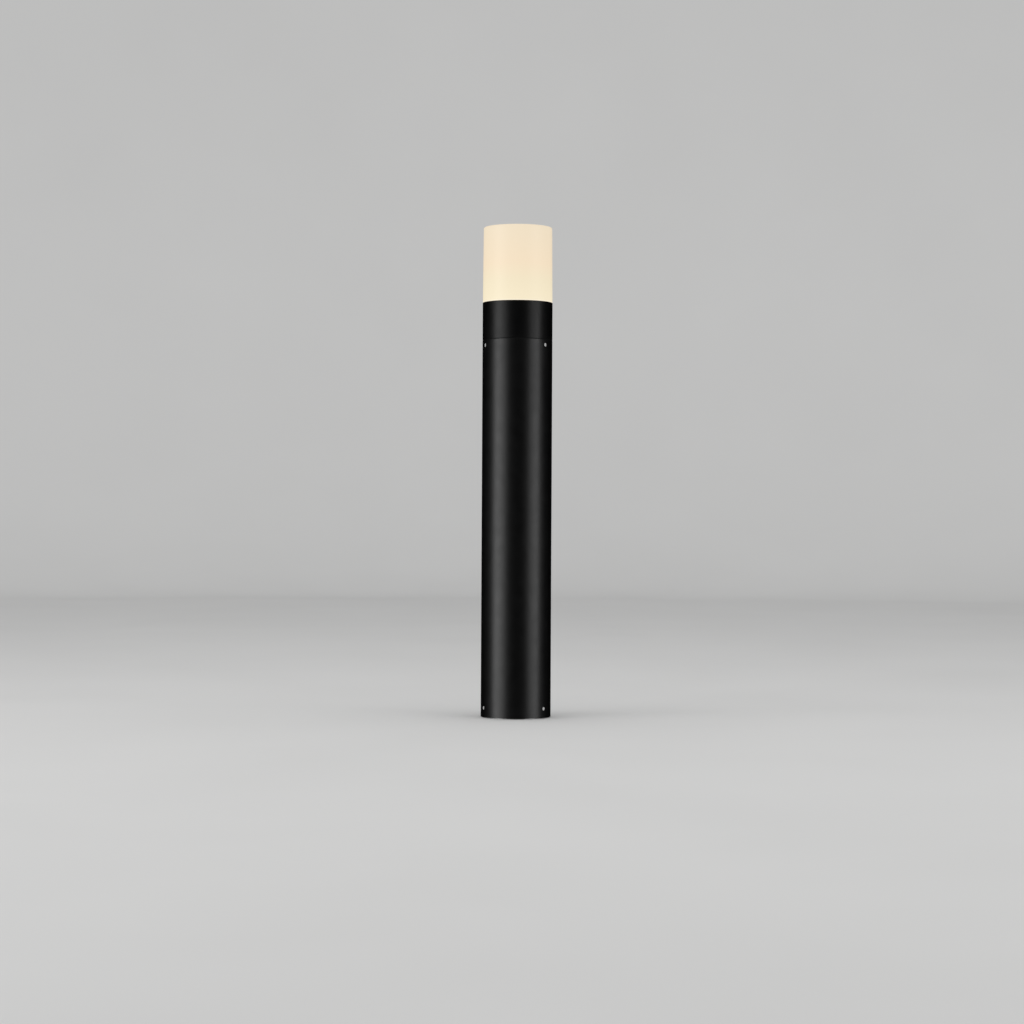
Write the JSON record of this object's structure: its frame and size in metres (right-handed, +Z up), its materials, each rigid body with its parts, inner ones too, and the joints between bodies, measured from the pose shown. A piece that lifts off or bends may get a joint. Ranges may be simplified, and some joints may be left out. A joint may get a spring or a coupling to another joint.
{
  "type": "bollard light",
  "caption": "Round garden bollard light: black tubular column, black head ring with a hairline seam and a lit opal cylinder diffuser, over a bolted foot, gear tray and screw-in lamp.",
  "frame": {"origin": "centre of the foot's underside, on the ground", "axes": "+Z up along the column; -Y is the side of the junction box lid; one head screw points to +Y"},
  "size_m": [0.1, 0.1, 0.7],
  "materials": {
    "column_coat": "satin black powder coat",
    "head_coat": "satin black powder coat",
    "cast_aluminium": "as cast and machined",
    "zinc_steel": "zinc-plated sheet",
    "stainless": "bright stainless",
    "brass": "bright",
    "nickel": "nickel plate",
    "box_grey": "fine texture",
    "gland_grey": "fine texture",
    "terminal_plastic": "natural nylon",
    "disc_plastic": "moulded",
    "seal_rubber": "matt",
    "seal_silicone": "translucent silicone",
    "lead_jacket": "heat-resistant jacket",
    "core_insulation": "coloured insulation",
    "earth_insulation": "green with a yellow stripe",
    "fuse_glass": "clear",
    "holder_ceramic": "glazed",
    "lamp_white": "smooth",
    "lamp_black": "vitreous",
    "lamp_opal": "opal, lit",
    "led": "phosphor, lit",
    "board": "white solder mask",
    "opal": "opal, lit from inside",
    "reflector_white": "white enamel"
  },
  "bodies": {
    "foot": {"foot_casting": "cast_aluminium", "earth_stud": "brass", "earth_lug": "nickel", "earth_nut": "brass", "earth_wire": "earth_insulation", "gear_tray": "zinc_steel", "tray_screws": "stainless", "centring_disc": "disc_plastic", "centring_disc_screws": "stainless", "junction_box_body": "box_grey", "junction_box_gasket": "seal_rubber", "junction_box_lid": "box_grey", "junction_box_lid_screws": "stainless", "junction_box_fixings": "stainless", "terminal_block": "terminal_plastic", "terminal_screws": "brass", "fuse_base": "terminal_plastic", "fuse": "fuse_glass", "supply_gland_body": "gland_grey", "supply_gland_nut": "gland_grey", "supply_gland_seal": "seal_rubber", "lead_gland_body": "gland_grey", "lead_gland_nut": "gland_grey", "lead_gland_seal": "seal_rubber", "gland_locknuts": "gland_grey", "earth_grommet": "seal_rubber", "lamp_lead": "lead_jacket", "lamp_lead_cores": "core_insulation", "lead_clips": "zinc_steel", "clip_rivets": "cast_aluminium", "lampholder_body": "holder_ceramic", "lampholder_screws": "stainless", "lampholder_sleeve": "nickel", "lampholder_contact": "brass"},
    "column": {"column_tube": "column_coat", "top_collar": "cast_aluminium", "bottom_collar": "cast_aluminium"},
    "head": {"head_ring": "head_coat", "head_gasket": "seal_rubber", "reflector": "reflector_white", "reflector_screws": "stainless", "diffuser": "opal", "diffuser_bond": "seal_silicone"},
    "lamp_seal": {"lamp_seal": "seal_silicone"},
    "lamp": {"lamp_contact": "nickel", "lamp_insulator": "lamp_black", "lamp_cap": "nickel", "lamp_housing": "lamp_white", "lamp_board": "board", "lamp_leds": "led", "lamp_globe": "lamp_opal"},
    "head_set_screw_1": {"head_set_screw_1": "stainless"},
    "head_set_screw_2": {"head_set_screw_2": "stainless"},
    "head_set_screw_3": {"head_set_screw_3": "stainless"},
    "foot_set_screw_1": {"foot_set_screw_1": "stainless"},
    "foot_set_screw_2": {"foot_set_screw_2": "stainless"},
    "foot_set_screw_3": {"foot_set_screw_3": "stainless"}
  },
  "joints": [
    {"name": "column_lift", "type": "slide", "parent": "foot", "child": "column", "axis": [0, 0, 1], "range_m": [0, 0.68]},
    {"name": "head_lift", "type": "slide", "parent": "column", "child": "head", "axis": [0, 0, 1], "range_m": [0, 0.18]},
    {"name": "lamp_rise", "type": "slide", "parent": "foot", "child": "lamp_seal", "axis": [0, 0, 1], "range_m": [0, 0.0145]},
    {"name": "lamp_turn", "type": "hinge", "parent": "lamp_seal", "child": "lamp", "pos_m": [0, 0, 0.59], "axis": [0, 0, 1], "range_deg": [0, 1440]},
    {"name": "head_set_screw_1_turn_out", "type": "slide", "parent": "column", "child": "head_set_screw_1", "axis": [0, 1, 0], "range_m": [0, 0.005]},
    {"name": "head_set_screw_2_turn_out", "type": "slide", "parent": "column", "child": "head_set_screw_2", "axis": [-0.866, -0.5, 0], "range_m": [0, 0.005]},
    {"name": "head_set_screw_3_turn_out", "type": "slide", "parent": "column", "child": "head_set_screw_3", "axis": [0.866, -0.5, 0], "range_m": [0, 0.005]},
    {"name": "foot_set_screw_1_turn_out", "type": "slide", "parent": "column", "child": "foot_set_screw_1", "axis": [0, 1, 0], "range_m": [0, 0.005]},
    {"name": "foot_set_screw_2_turn_out", "type": "slide", "parent": "column", "child": "foot_set_screw_2", "axis": [-0.866, -0.5, 0], "range_m": [0, 0.005]},
    {"name": "foot_set_screw_3_turn_out", "type": "slide", "parent": "column", "child": "foot_set_screw_3", "axis": [0.866, -0.5, 0], "range_m": [0, 0.005]}
  ],
  "couplings": [
    {"joint": "lamp_rise", "follows": "lamp_turn", "m_per_rad": 0.00057614}
  ]
}
